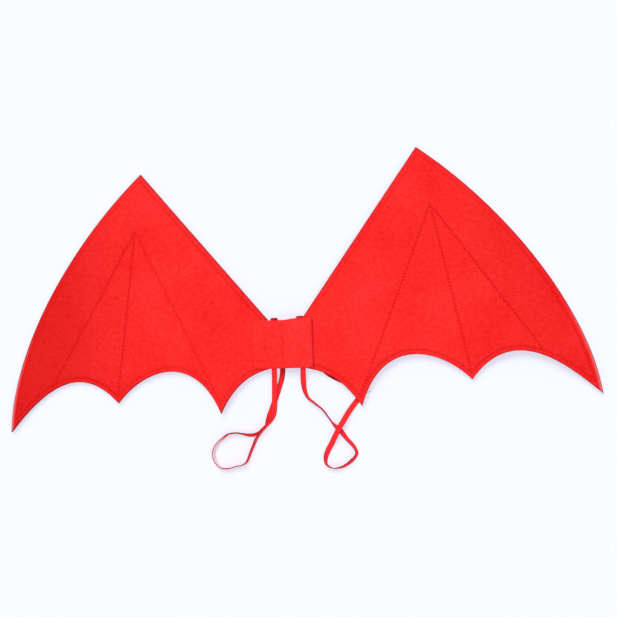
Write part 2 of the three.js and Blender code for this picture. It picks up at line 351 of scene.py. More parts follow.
# both elastic loops; a row of a route has x, y, lean in degrees (0 and 180 flat, 90 on edge)
# and, where it is off the floor, the height of its lower side
strapSet = {
    "width": 0.0058,
    "thick": 0.0009,
    "corner": 0.00028,
    "edgeTurns": (30, 60, 90, 120, 150),    # degrees round a cut edge
    "ribDepth": 0.00005,
    "ribStops": 6,    # points across a rib
    "step": 0.0008,
    "clear": 0.00005,    # over the floor
    # painted shade in the fold over the band's top edge
    "foldDark": 0.90,
    "foldMiddle": -0.002,    # along the elastic, from the fold's top
    "foldReach": 0.006,
    "paleX": -0.0730,    # where the painted sheen on the left loop's bend starts
    "paleFade": 0.010,
    "paintedSheen": 0.95,
    "shadeUnder": 0.0036,    # only strands this low are shaded
    "stemEnd": -0.150,    # y where the loop begins
    "stemFade": 0.010,
    "crossY": -0.120,    # where the left loop's strands cross
    "neck": (-0.0292, -0.1482),    # below the left stem
    "neckReach": 0.0085,
    "neckRim": 0.25,
    "foldY": -0.0371,
    "startY": -0.061,
    "endY": -0.065,
    "underBand": 0.00685,
    "left": {
        "foldX": -0.0131, "drift": 0.0016, "endX": -0.0145,
        "stemRim": 0.2,
        "shades": [((-0.0078, -0.0930), 0.0075, 0.45)],    # painted shadow where it comes out from behind the wings
        "route": [
            (-0.0113, -0.0520, 180), (-0.0094, -0.0700, 180), (-0.0072, -0.0880, 180),
            (-0.0087, -0.0980, 180), (-0.0123, -0.1080, 178), (-0.0166, -0.1186, 172),
            (-0.0214, -0.1300, 160), (-0.0250, -0.1378, 146), (-0.0273, -0.1432, 122),
            (-0.0293, -0.1473, 98), (-0.0332, -0.1507, 98), (-0.0375, -0.1547, 108),
            (-0.0436, -0.1569, 126), (-0.0494, -0.1568, 126), (-0.0560, -0.1551, 110),
            (-0.0631, -0.1538, 103), (-0.0718, -0.1548, 101), (-0.0767, -0.1581, 103),
            (-0.0827, -0.1630, 108), (-0.0871, -0.1687, 112), (-0.0889, -0.1743, 112),
            (-0.0882, -0.1802, 110), (-0.0855, -0.1859, 100), (-0.0816, -0.1898, 94),
            (-0.0750, -0.1912, 90), (-0.0646, -0.1894, 89), (-0.0580, -0.1883, 86),
            (-0.0534, -0.1858, 82), (-0.0509, -0.1820, 78), (-0.0484, -0.1766, 76),
            (-0.0430, -0.1656, 70), (-0.0403, -0.1606, 70), (-0.0356, -0.1550, 74),
            (-0.0284, -0.1484, 80), (-0.0242, -0.1436, 58), (-0.0214, -0.1390, 38, 0.0001),
            (-0.0194, -0.1330, 18, 0.0006), (-0.0178, -0.1190, 4, 0.002), (-0.0164, -0.1040, 0, 0.0042),
            (-0.0152, -0.0910, 0, 0.0062),
        ],
    },
    "right": {
        "foldX": 0.0148, "drift": 0.0020, "endX": 0.0160,
        "stemRim": 1.0,
        "shades": [((0.0490, -0.1016), 0.0110, 1.0),    # painted shadow beside the scallop
                   ((0.0330, -0.1346), 0.0130, 0.55)],    # painted shade where it stands on edge
        "route": [
            (0.0174, -0.0520, 180), (0.0238, -0.0700, 180), (0.0326, -0.0855, 180),
            (0.0404, -0.0956, 180), (0.0470, -0.1004, 180), (0.0554, -0.1051, 180),
            (0.0648, -0.1088, 180), (0.0720, -0.1130, 180), (0.0750, -0.1184, 180),
            (0.0734, -0.1242, 180), (0.0682, -0.1300, 180, 0.0001), (0.0607, -0.1392, 180, 0.002),
            (0.0554, -0.1470, 180, 0.0042), (0.0500, -0.1552, 180, 0.0054), (0.0449, -0.1632, 180, 0.0042),
            (0.0404, -0.1708, 176, 0.002), (0.0358, -0.1780, 160, 0.0002), (0.0330, -0.1850, 136),
            (0.0332, -0.1922, 102), (0.0394, -0.1968, 84), (0.0502, -0.1960, 68),
            (0.0604, -0.1900, 56), (0.0662, -0.1830, 66), (0.0644, -0.1764, 66),
            (0.0570, -0.1670, 56), (0.0529, -0.1612, 42), (0.0492, -0.1564, 26),
            (0.0452, -0.1522, 68), (0.0416, -0.1474, 88), (0.0384, -0.1424, 89),
            (0.0331, -0.1346, 88), (0.0250, -0.1272, 80), (0.0186, -0.1212, 72, 0.0001),
            (0.0154, -0.1120, 48, 0.0009), (0.0150, -0.1064, 29, 0.0021), (0.0150, -0.1010, 12, 0.0034),
            (0.0160, -0.0900, 0, 0.0063),
        ],
    },
}


# rows of a whole loop: under the band, over its top, down behind the wings and back
def strapRows(strap):
    low = strapSet["clear"] + strapSet["thick"] / 2
    high = strapSet["underBand"]
    radius = (high - low) / 2
    foldX, foldY = strap["foldX"], strapSet["foldY"]
    rows = [(foldX, strapSet["startY"], high), (foldX, (strapSet["startY"] + foldY) / 2, high)]
    for share in (0, 0.25, 0.5, 0.75, 1):
        angle = math.pi * share
        y, z = foldY + radius * math.sin(angle), low + radius * (1 + math.cos(angle))
        rows.append((foldX + strap["drift"] * share, y, z))
    widths = [(-1.0, 0.0, 0.0)] * len(rows)
    leans = [row[2] for row in strap["route"]] + [0]
    firstLean = len(rows)
    for x, y, lean, *over in strap["route"]:
        angle = math.radians(lean)
        tall = strapSet["width"] * math.sin(angle) + strapSet["thick"] * abs(math.cos(angle))
        clear = over[0] if over else strapSet["clear"]
        rows.append((x, y, clear + tall / 2))
    rows.append((strap["endX"], strapSet["endY"], high))
    rows = np.array(rows)
    for k, lean in enumerate(leans):
        before = rows[firstLean + k - 1]
        after = rows[min(firstLean + k + 1, len(rows) - 1)]
        left = np.array([before[1] - after[1], after[0] - before[0], 0])
        angle = math.radians(lean)
        widths.append((*(left / np.linalg.norm(left))[:2] * math.cos(angle), math.sin(angle)))
    return rows, np.array(widths)


def blend(a, b, start, end, at):
    return (a * (end - at) + b * (at - start)) / (end - start)


# smooth line through the rows, with stops as close as the step
def strapLine(rows, widths):
    padded = np.vstack([2 * rows[0] - rows[1], rows, 2 * rows[-1] - rows[-2]])
    line, sides = [], []
    for k in range(len(rows) - 1):
        p0, p1, p2, p3 = padded[k:k + 4]
        roots = [np.linalg.norm(b - a) ** 0.5 for a, b in ((p0, p1), (p1, p2), (p2, p3))]
        k0, k1, k2, k3 = np.cumsum([0] + roots)
        count = max(2, round(np.linalg.norm(p2 - p1) / strapSet["step"]))
        for share in np.arange(count) / count:
            t = k1 + share * (k2 - k1)
            a1, a2, a3 = blend(p0, p1, k0, k1, t), blend(p1, p2, k1, k2, t), blend(p2, p3, k2, k3, t)
            b1, b2 = blend(a1, a2, k0, k2, t), blend(a2, a3, k1, k3, t)
            line.append(blend(b1, b2, k1, k2, t))
            sides.append(widths[k] * (1 - share) + widths[k + 1] * share)
    line.append(rows[-1])
    sides.append(widths[-1])
    return np.array(line), np.array(sides)


# flat section with rounded edges and ribs: place across the width, height
def strapSection():
    half, tall, corner = strapSet["width"] / 2, strapSet["thick"] / 2, strapSet["corner"]
    ribs = elasticLook["ribs"]
    flat = np.linspace(half - corner, corner - half, strapSet["ribStops"] * ribs + 1)
    sunk = strapSet["ribDepth"] * (0.5 - 0.5 * np.cos(2 * np.pi * ribs * flat / (2 * half)))
    turn = np.radians(strapSet["edgeTurns"])
    side = np.column_stack([half - corner + corner * np.sin(turn), tall * np.cos(turn)])
    top = np.column_stack([flat, tall - sunk])
    return np.vstack([top, side * (-1, 1), -top, side * (1, -1)])


def addStrap(side):
    strap = strapSet[side]
    line, sides = strapLine(*strapRows(strap))
    ahead = unit(np.gradient(line, axis=0))
    sides = unit(sides - (sides * ahead).sum(1)[:, None] * ahead)
    faceUp = np.cross(ahead, sides)
    section = strapSection()
    points = line[:, None] + sides[:, None] * section[None, :, :1] + faceUp[:, None] * section[None, :, 1:]
    sunk = np.maximum(strapSet["clear"] - points[..., 2].min(1), 0)
    points[..., 2] += sunk[:, None]
    line[:, 2] += sunk
    rings, count = len(line), len(section)
    faces = ringFaces(rings, count)
    faces.append(tuple(range(count)))
    faces.append(tuple((rings - 1) * count + s for s in reversed(range(count))))
    name = side + "Strap"
    piece = newPiece(name, points.reshape(-1, 3), faces, redElastic)
    along = distances(line)
    # painted shade: dark in the fold, and painted shadow at the listed places on strands low under the wings
    foldGap = along - along[line[:, 1].argmax()]
    foldShare = (foldGap - strapSet["foldMiddle"]) / strapSet["foldReach"]
    strapShade = strapSet["foldDark"] * np.exp(-foldShare ** 2)
    isLow = line[:, 2] < strapSet["shadeUnder"]
    for place, reach, strength in strap["shades"]:
        gap = np.linalg.norm(line[:, :2] - place, axis=1)
        strapShade = np.maximum(strapShade, strength * isLow * np.exp(-(gap / reach) ** 2))
    paintPoints(piece, "strapShade", np.repeat(strapShade, count))
    # painted sheen: the inner face of the left loop's outer bend is painted pale, for light catching it
    bend = smooth((strapSet["paleX"] - line[:, 0]) / strapSet["paleFade"]) * strapSet["paintedSheen"]
    paintPoints(piece, "stretched", np.outer(bend, section[:, 1] < 0).ravel())
    # dark edges, partly the elastic's own edge tone and partly painted shade, but not between the two
    # strands of a stem, which cross, or at the neck below it
    stem = smooth((line[:, 1] - strapSet["stemEnd"]) / strapSet["stemFade"])
    goesDown = np.where(along < along[-1] / 2, 1, -1)
    overCross = np.clip((line[:, 1] - strapSet["crossY"]) / strapSet["stemFade"], -1, 1)
    inner = 0.5 + 0.5 * np.outer(goesDown * overCross, np.sign(section[:, 0]))
    rim = 1 + (strap["stemRim"] - 1) * stem[:, None] * inner
    neckGap = np.linalg.norm(line[:, :2] - strapSet["neck"], axis=1)
    rim *= 1 + (strapSet["neckRim"] - 1) * np.exp(-(neckGap / strapSet["neckReach"]) ** 2)[:, None]
    paintPoints(piece, "rim", rim.ravel())
    paintPoints(piece, "along", np.repeat(along, count))
    paintPoints(piece, "across", np.tile(section[:, 0] / (strapSet["width"] / 2), rings))
    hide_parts(side + "_strap")


for side in ("left", "right"):
    addStrap(side)


# a wing as it lies on the right, which the left one mirrors
wingSet = {
    "corners": {
        "neckTop": (0.0002, -0.0597),
        "point": (0.1520, 0.1360),
        "outerTip": (0.3200, -0.1360),
        "middleTip": (0.1923, -0.1136),
        "innerTip": (0.0768, -0.1323),
        "neckBottom": (0.0002, -0.0862),
    },
    # the two wings are not cut quite alike
    "cornerShift": {
        "left": {"point": (-0.00075, 0.00045), "outerTip": (-0.0012, -0.0018)},
        "right": {
            "point": (0.00075, -0.0010), "outerTip": (0.0019, -0.0005), "innerTip": (-0.0008, -0.0011),
        },
    },
    # from, to and the two places that pull the curve
    "edges": [
        ("neckTop", "point", None),
        ("point", "outerTip", ((0.2346, 0.0690), (0.3136, -0.0430))),
        ("outerTip", "middleTip", ((0.2890, -0.1050), (0.2385, -0.0565))),
        ("middleTip", "innerTip", ((0.1617, -0.0786), (0.1022, -0.0610))),
        ("innerTip", "neckBottom", ((0.0594, -0.1008), (0.0390, -0.0862))),
        ("neckBottom", "neckTop", None),
    ],
    "rightBesideBand": ((0.0576, -0.1049), (0.0436, -0.0918)),    # hangs lower than on the left
    "apex": {"left": (0.1617, 0.0730), "right": (0.1630, 0.0730)},    # where the rays start
    "outlineStep": 0.0008,
    "firstRay": 0.42,    # where the outer ray meets the outer scallop, as a share of that edge
    "thick": 0.0016,
    "layerGap": 0.0003,
    "rounding": 0.0004,    # cut edge
    "lift": 0.0026,    # the elastic behind the middle lifts the felt
    "flatHalf": 0.045,
    "endHalf": 0.190,
    "rimDrop": 0.0003,
    "rimReach": 0.0042,
    "waveHeight": 0.0009,
    "waveSize": 0.085,
    "waveMiddle": 0.5,    # mean height and spread of the waves, as shares
    "waveSpread": 0.7,
    "waveStart": 0.050,    # no waves under the band
    "waveFull": 0.120,
    "waveSeed": {"left": 3.1, "right": 7.4},
    "tipLift": 0.0012,
    "tipReach": 0.035,
    "scallopLift": {"left": (0.0010, 0.0010), "right": (0.0060, 0.0026)},    # outer and middle one
    "scallopReach": 0.032,
    "scallopFade": 0.060,    # no lift at the tips
    "grid": 0.0025,
    "plainGrid": 0.009,
    "crowding": {"sewn": 0.0004, "besides": 0.0005, "grid": 0.0014, "plainGrid": 0.004},    # least gaps
    "scallopSkip": 6,    # every so many outline points are measured from
    "rimSkip": 3,
    "flat": (0.3195, 0.2720),
    "area": 0.04367,
}

# sewing: border line, rays and what each stitch does to the felt
seamSet = {
    "insets": (0.0058, 0.0058, 0.0046, 0.0046, 0.0046, 0.0058),    # from each edge
    "leastInset": 0.0012,
    "borderLines": 5,    # all edges but the hidden neck
    "step": 0.002,
    "pitch": 0.0037,
    "stitchPoints": 4,    # mesh points a stitch
    "groove": 0.00038,
    "grooveHalf": 0.0013,
    "pull": 0.00022,
    "pullHalf": 0.0048,
    "pit": 0.00035,
    "pitHalf": 0.0010,
    "pucker": 0.00008,
    "puckerReach": 0.0030,
    "besides": (0.0006, 0.0013, 0.0024, 0.0040),    # lines of points on both sides of a seam
    # how dark the painted shade in the needle holes and groove of each of the five border lines and the
    # three rays shows
    "dark": {
        "left": (0.52, 0.30, 0.90, 0.40, 0.30, 0.90, 0.85, 0.60),
        "right": (0.30, 1.00, 0.95, 0.80, 0.65, 1.00, 0.90, 0.95),
    },
    # length over which a line is faint at its start, and how faint
    "faintLong": (0, 0.300, 0, 0, 0, 0, 0.005, 0.005),
    "faint": 0.08,
    "lineShare": {"left": 0.24, "right": 0.10},    # how much of a seam shows as a line, not as holes
}


# the six edges of a wing's outline
def outlineEdges(side):
    shifts = wingSet["cornerShift"][side]
    corners = {}
    for name, place in wingSet["corners"].items():
        corners[name] = np.add(place, shifts.get(name, (0, 0)))
    lines = []
    for start, end, bends in wingSet["edges"]:
        a, d = corners[start], corners[end]
        if side == "right" and start == "innerTip":
            bends = wingSet["rightBesideBand"]
        line = np.array([a, d]) if bends is None else bezier(a, *bends, d)
        lines.append(evenly(line, wingSet["outlineStep"]))
    return lines


def crossOf(u, v):
    return u[..., 0] * v[..., 1] - u[..., 1] * v[..., 0]


# where one line runs across another: index on each, and the place
def crossing(lineA, lineB):
    p, r = lineA[:-1, None], np.diff(lineA, axis=0)[:, None]
    q, s = lineB[None, :-1], np.diff(lineB, axis=0)[None]
    turn = crossOf(r, s)
    turn = np.where(turn == 0, tiny, turn)
    onA, onB = crossOf(q - p, s) / turn, crossOf(q - p, r) / turn
    hits = np.argwhere((onA >= 0) & (onA <= 1) & (onB >= 0) & (onB <= 1))
    i, j = hits[-1]
    return i, j, lineA[i] + onA[i, j] * (lineA[i + 1] - lineA[i])


# the outline's six edges moved inwards and cut where they meet
def insetEdges(side, insets):
    moved = []
    for line, distance in zip(outlineEdges(side), insets):
        slope = unit(np.gradient(line, axis=0))
        moved.append(line + distance * np.column_stack([slope[:, 1], -slope[:, 0]]))
    count = len(moved)
    meets = [crossing(moved[k], moved[(k + 1) % count]) for k in range(count)]
    trimmed = []
    for k in range(count):
        _, first, start = meets[k - 1]
        last, _, end = meets[k]
        trimmed.append(np.vstack([start, moved[k][first + 1:last + 1], end]))
    return trimmed


def insetRing(side, insets, step):
    return np.vstack([evenly(line, step)[:-1] for line in insetEdges(side, insets)])


# border seam on every edge but the hidden neck, then the rays from the apex
def seamLines(side):
    border = insetEdges(side, seamSet["insets"])
    apex = np.array(wingSet["apex"][side])
    scallop = outlineEdges(side)[2]
    rayFoot = scallop[round(wingSet["firstRay"] * (len(scallop) - 1))]
    rayEnd = crossing(np.array([apex, rayFoot]), border[2])[2]
    ends = [rayEnd, border[2][-1], border[3][-1]]
    borderLines = seamSet["borderLines"]
    lines = border[:borderLines] + [np.array([apex, end]) for end in ends]
    seams = []
    for k, line in enumerate(lines):
        length = distances(line)[-1]
        stitches = round(length / seamSet["pitch"])
        seams.append({
            "line": evenly(line, seamSet["step"]),
            "pitch": length / stitches,
            "stitches": stitches,
            "isRay": k >= borderLines,
            "dark": seamSet["dark"][side][k],
            "faintLong": seamSet["faintLong"][k],
        })
    return seams


# distance from each place to a line, and how far along the line that is
def nearestOn(line, places, block=1500):
    start, step = line[:-1], np.diff(line, axis=0)
    square = (step * step).sum(1)
    before, length = distances(line)[:-1], np.sqrt(square)
    gaps, along = np.empty(len(places)), np.empty(len(places))
    for k in range(0, len(places), block):
        part = places[k:k + block]
        share = np.clip(((part[:, None] - start) * step).sum(-1) / square, 0, 1)
        gap = np.linalg.norm(part[:, None] - start - share[..., None] * step, axis=-1)
        pick, row = gap.argmin(1), np.arange(len(part))
        gaps[k:k + block] = gap[row, pick]
        along[k:k + block] = before[pick] + share[row, pick] * length[pick]
    return gaps, along


wingSeams = {side: seamLines(side) for side in ("left", "right")}
print("seams:", sum(seam["stitches"] for seam in wingSeams["right"]), "stitches a side")


# how far the sewing pulls the felt in at each place, and how dark the painted shade of its needle holes and
# groove is there
def sewnDip(side, places):
    dip, dark = np.zeros(len(places)), np.zeros(len(places))
    for seam in wingSeams[side]:
        gap, along = nearestOn(seam["line"], places)
        phase = along / seam["pitch"]
        toNeedle = np.abs(phase - np.round(phase)) * seam["pitch"]
        groove = seamSet["groove"] * np.exp(-(gap / seamSet["grooveHalf"]) ** 2)
        pull = seamSet["pull"] * np.exp(-(gap / seamSet["pullHalf"]) ** 2)
        pit = np.exp(-(gap ** 2 + toNeedle ** 2) / seamSet["pitHalf"] ** 2)
        ripple = np.cos(2 * np.pi * phase) * np.exp(-(gap / seamSet["puckerReach"]) ** 2)
        dip = np.maximum(dip, groove + pull + seamSet["pit"] * pit + seamSet["pucker"] * ripple)
        lineShare = seamSet["lineShare"][side]
        # painted shade, in the needle holes and along the groove
        shade = (1 - lineShare) * pit + lineShare * np.exp(-(gap / seamSet["grooveHalf"]) ** 2)
        started = smooth((along + hair) / (seam["faintLong"] + hair))
        strength = seamSet["faint"] + (1 - seamSet["faint"]) * started
        dark = np.maximum(dark, seam["dark"] * strength * shade)
    return dip, np.clip(dark, 0, 1)


def inside(places, ring):
    x, y = places[:, :1], places[:, 1:]
    ax, ay = ring.T
    bx, by = np.roll(ring, -1, axis=0).T
    spans = (ay > y) != (by > y)
    level = np.where(by == ay, tiny, by - ay)
    return (spans & (x < (bx - ax) * (y - ay) / level + ax)).sum(1) % 2 == 1


# keeps each place unless it crowds one that was kept before it
def thinOut(groups):
    cell = max(gap for _, gap in groups) + hair
    kept, cells = [], {}
    for places, gap in groups:
        for x, y in places:
            i, j = int(x // cell), int(y // cell)
            near = (p for u in (-1, 0, 1) for v in (-1, 0, 1) for p in cells.get((i + u, j + v), ()))
            if gap and any((p[0] - x) ** 2 + (p[1] - y) ** 2 < gap * gap for p in near):
                continue
            kept.append((x, y))
            cells.setdefault((i, j), []).append((x, y))
    return np.array(kept)


# rows of places a step apart, every second row shifted
def honeycomb(low, high, step):
    rows = []
    for k, y in enumerate(np.arange(low[1], high[1], step * meshSet["rowShare"])):
        x = np.arange(low[0] + (k % 2) * step / 2, high[0], step)
        rows.append(np.column_stack([x, np.full(len(x), y)]))
    return np.vstack(rows)


# triangles over the places inside a ring, whose own places come first
def triangulate(places, ringCount):
    ring = [(k, (k + 1) % ringCount) for k in range(ringCount)]
    flat = [tuple(p) for p in (places * meshSet["enlarge"]).tolist()]
    _, _, faces, source, _, _ = geometry.delaunay_2d_cdt(flat, ring, [], 1, meshSet["merge"])
    name = [ids[0] for ids in source]
    return {"places": places, "faces": [tuple(name[v] for v in face) for face in faces]}


def gridInside(rim, step):
    grid = honeycomb(rim.min(0), rim.max(0), step)
    return grid[inside(grid, rim)]


def wingPlans(side):
    step = seamSet["pitch"] / seamSet["stitchPoints"]
    rim = insetRing(side, [wingSet["rounding"]] * len(wingSet["edges"]), step)
    sewn = [evenly(seam["line"], seam["pitch"] / seamSet["stitchPoints"]) for seam in wingSeams[side]]
    besides = []
    for shift in seamSet["besides"]:
        for way in (-1, 1):
            insets = [max(inset + way * shift, seamSet["leastInset"]) for inset in seamSet["insets"]]
            besides.append(insetRing(side, insets, step))
        for seam in wingSeams[side][seamSet["borderLines"]:]:
            line = evenly(seam["line"], step)
            ahead = unit(np.diff(line[[0, -1]], axis=0))[0]
            besides += [line + way * shift * np.array([-ahead[1], ahead[0]]) for way in (-1, 1)]
    besides = np.vstack(besides)
    besides = besides[inside(besides, rim)]
    grid, plainGrid = gridInside(rim, wingSet["grid"]), gridInside(rim, wingSet["plainGrid"])
    least = wingSet["crowding"]
    fine = thinOut([
        (rim, 0), (np.vstack(sewn), least["sewn"]), (besides, least["besides"]), (grid, least["grid"]),
    ])
    plain = thinOut([(rim, 0), (plainGrid, least["plainGrid"])])
    return {
        "fine": triangulate(fine, len(rim)),
        "plain": triangulate(plain, len(rim)),
        "rimCount": len(rim),
    }


# cut edges of the felt, darkened partly as the felt's own cut fibres and partly as painted shade on their
# side walls
edgeSet = {
    "turns": (35, 65, 90),    # degrees round each half of a cut edge
    "wobble": 0.25,    # as a share of its rounding
    "wobbleScale": 600,
    "rimDark": 0.5,    # painted shade beside it, as a share of the edge's darkness
}


# a felt slab from plans of its two sides, with a rounded cut edge between them
def feltSlab(name, upper, lower, upperZ, lowerZ, edgeDark, rounding, material):
    ringCount = len(edgeDark)
    ring = upper["places"][:ringCount]
    before, after = unit(ring - np.roll(ring, 1, axis=0)), unit(np.roll(ring, -1, axis=0) - ring)
    normal = unit(np.column_stack([-(before + after)[:, 1], (before + after)[:, 0]]))
    miter = (normal * np.column_stack([-before[:, 1], before[:, 0]])).sum(1)
    out = normal / miter[:, None]
    scale = edgeSet["wobbleScale"]
    wobble = np.array([noise.noise((x * scale, y * scale, 0)) for x, y in ring])
    wobble = wobble * rounding * edgeSet["wobble"]
    rows = []
    for z, way in ((upperZ[:ringCount], -1), (lowerZ[:ringCount], 1)):
        for angle in np.radians(edgeSet["turns"]):
            reach = rounding * math.sin(angle) + wobble * math.sin(angle)
            height = z + way * rounding * (1 - math.cos(angle))
            rows.append(np.column_stack([ring + out * reach[:, None], height]))
    half = len(edgeSet["turns"])
    wall = rows[:half] + rows[half:][::-1]
    top = np.column_stack([upper["places"], upperZ])
    bottom = np.column_stack([lower["places"], lowerZ])
    points = np.vstack([top, bottom, *wall])
    faces = list(upper["faces"])
    faces += [tuple(len(top) + v for v in reversed(face)) for face in lower["faces"]]
    firsts = [0] + [len(top) + len(bottom) + k * ringCount for k in range(len(wall))] + [len(top)]
    for a, b in zip(firsts, firsts[1:]):
        for k in range(ringCount):
            n = (k + 1) % ringCount
            faces.append((a + k, b + k, b + n, a + n))
    piece = newPiece(name, points, faces, material)
    cut = np.zeros(len(points))
    cut[:ringCount] = edgeSet["rimDark"] * edgeDark
    cut[len(top):len(top) + ringCount] = edgeSet["rimDark"] * edgeDark
    cut[len(top) + len(bottom):] = np.tile(edgeDark, len(wall))
    paintPoints(piece, "cut", cut)
    return piece


def rise(x):
    share = (np.abs(x) - wingSet["flatHalf"]) / (wingSet["endHalf"] - wingSet["flatHalf"])
    return wingSet["lift"] * (1 + np.cos(np.pi * np.clip(share, 0, 1))) / 2


# underside of a wing: its lift, soft waves, raised tips and scallops
def wingBase(places, side):
    x = places[:, 0]
    size, seed = wingSet["waveSize"], wingSet["waveSeed"][side]
    wave = np.array([noise.noise((a / size, b / size, seed)) for a, b in places])
    wave = wingSet["waveHeight"] * np.clip(wingSet["waveMiddle"] + wingSet["waveSpread"] * wave, 0, 1)
    fade = smooth((x - wingSet["waveStart"]) / (wingSet["waveFull"] - wingSet["waveStart"]))
    base = rise(x) + wave * fade
    raised = np.zeros(len(places))
    for scallop, lift in zip(outlineEdges(side)[2:4], wingSet["scallopLift"][side]):
        gap = nearestOn(scallop[::wingSet["scallopSkip"]], places)[0]
        raised += lift * np.exp(-(gap / wingSet["scallopReach"]) ** 2)
    for tip in ("outerTip", "middleTip", "innerTip"):
        gap = np.linalg.norm(places - np.array(wingSet["corners"][tip]), axis=1)
        base += wingSet["tipLift"] * np.exp(-(gap / wingSet["tipReach"]) ** 2)
        raised *= smooth(gap / wingSet["scallopFade"])
    return base + raised


def mirrored(piece):
    piece.data.transform(Matrix.Diagonal((-1, 1, 1, 1)))
    piece.data.flip_normals()


# besides the sewing: painted sheen on the rim at the outer tips, how dark the cut edges are, and painted
# shade towards the outer parts
paintedLightSet = {
    "paleWide": 0.0030,
    "paleFrom": 0.1300,    # from the outer tip
    "paintedSheen": {"left": 0.85, "right": 0.60},
    "edgeDark": 0.90,
    # painted shade: the felt is painted darker from here towards the outer end, more on the left wing
    "shadeStart": 0.150,
    "shadeFull": 0.290,
    "shade": {"left": 0.50, "right": 0.20},
}


def wingPlan(side):
    plan = wingPlans(side)
    places = plan["fine"]["places"]
    plan["dip"], plan["dark"] = sewnDip(side, places)
    edges = outlineEdges(side)
    skip = wingSet["rimSkip"]
    rimGap = nearestOn(np.vstack(edges)[::skip], places)[0]
    plan["rimSlope"] = wingSet["rimDrop"] * (1 - smooth(rimGap / wingSet["rimReach"]))
    outerGap = nearestOn(edges[1][::skip], places)[0]
    tipGap = np.linalg.norm(places - np.array(wingSet["corners"]["outerTip"]), axis=1)
    # painted sheen along the outer edge, fading away from the outer tip
    besideOuterEdge = 1 - smooth(outerGap / paintedLightSet["paleWide"])
    plan["paintedSheen"] = paintedLightSet["paintedSheen"][side] * besideOuterEdge * (1 - smooth(tipGap / paintedLightSet["paleFrom"]))
    span = paintedLightSet["shadeFull"] - paintedLightSet["shadeStart"]
    plan["shade"] = paintedLightSet["shade"][side] * smooth((places[:, 0] - paintedLightSet["shadeStart"]) / span)
    print(side, "wing plan:", len(plan["fine"]["faces"]), "triangles")
    return plan


plans = {side: wingPlan(side) for side in ("left", "right")}


def addLayer(side, layer):
    plan = plans[side]
    fineBase = wingBase(plan["fine"]["places"], side)
    plainBase = wingBase(plan["plain"]["places"], side)
    thick = wingSet["thick"]
    name = side + "Wing" + layer
    if layer == "Front":
        start = thick + wingSet["layerGap"]
        upper, lower = plan["fine"], plan["plain"]
        upperZ = fineBase + start + thick - plan["dip"] - plan["rimSlope"]
        lowerZ = plainBase + start
        material, slot, first = frontFelt, "front_felt", 0
    else:
        upper, lower = plan["plain"], plan["fine"]
        upperZ = plainBase + thick
        lowerZ = fineBase + plan["dip"]
        material, slot, first = backFelt, "back_felt", len(plainBase)
    edgeDark = np.full(plan["rimCount"], paintedLightSet["edgeDark"])
    piece = feltSlab(name, upper, lower, upperZ, lowerZ, edgeDark, wingSet["rounding"], material)
    # painted shade in the stitch holes, painted sheen at the outer tips and painted shade over the outer
    # parts
    for paint, values in (("sewn", plan["dark"]), ("paintedSheen", plan["paintedSheen"]), ("shade", plan["shade"])):
        painted = np.zeros(len(piece.data.vertices))
        painted[first:first + len(values)] = values
        paintPoints(piece, paint, painted)
    if side == "left":
        mirrored(piece)
    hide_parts(f"{side}_wing_{layer.lower()}")
    print(name, "has", len(piece.data.polygons), "faces")
    return piece


wings = {(side, layer): addLayer(side, layer) for side in ("left", "right") for layer in ("Back", "Front")}


# stitches: a short thread from needle hole to needle hole, arched over the felt
threadSet = {
    "thick": 0.00050,
    "rise": 0.00018,
    "sink": 0.00040,
    "share": 0.72,    # of the pitch
    "sway": 0.00012,
    "sides": 6,
    "stops": 7,
    "endTaper": 0.45,
    # loose end beside the right wing's inner tip
    "tail": [
        (0.0795, -0.1212, 0.0034), (0.0808, -0.1203, 0.0030), (0.0822, -0.1201, 0.0021),
        (0.0836, -0.1196, 0.0012), (0.0848, -0.1186, 0.0008), (0.0862, -0.1186, 0.0005),
    ],
}


def stitchLines(seam, draw):
    lines = []
    shares = np.linspace(-0.5, 0.5, threadSet["stops"])
    along = distances(seam["line"])
    for k in range(seam["stitches"]):
        stops = (k + 0.5 + shares * threadSet["share"]) * seam["pitch"]
        line = np.column_stack([np.interp(stops, along, seam["line"][:, c]) for c in (0, 1)])
        ahead = unit(line[-1:] - line[:1])[0]
        slant = draw.uniform(-1, 1) * threadSet["sway"]
        lines.append(line + np.outer(2 * shares * slant, (-ahead[1], ahead[0])))
    return lines


def tubeMesh(lines):
    points, faces = [], []
    radius, sides = threadSet["thick"] / 2, threadSet["sides"]
    ring = np.linspace(0, 2 * math.pi, sides, endpoint=False)
    for line in lines:
        ahead = unit(np.gradient(line, axis=0))
        across = unit(np.cross(ahead, (0, 0, 1.0)))
        up = np.cross(across, ahead)
        taper = np.ones(len(line))
        taper[[0, -1]] = threadSet["endTaper"]
        first = len(points)
        for k in range(len(line)):
            for angle in ring:
                offset = across[k] * math.cos(angle) + up[k] * math.sin(angle)
                points.append(line[k] + radius * taper[k] * offset)
        faces += ringFaces(len(line), sides, first)
        faces.append(tuple(first + s for s in reversed(range(sides))))
        faces.append(tuple(first + (len(line) - 1) * sides + s for s in range(sides)))
    return np.array(points), faces


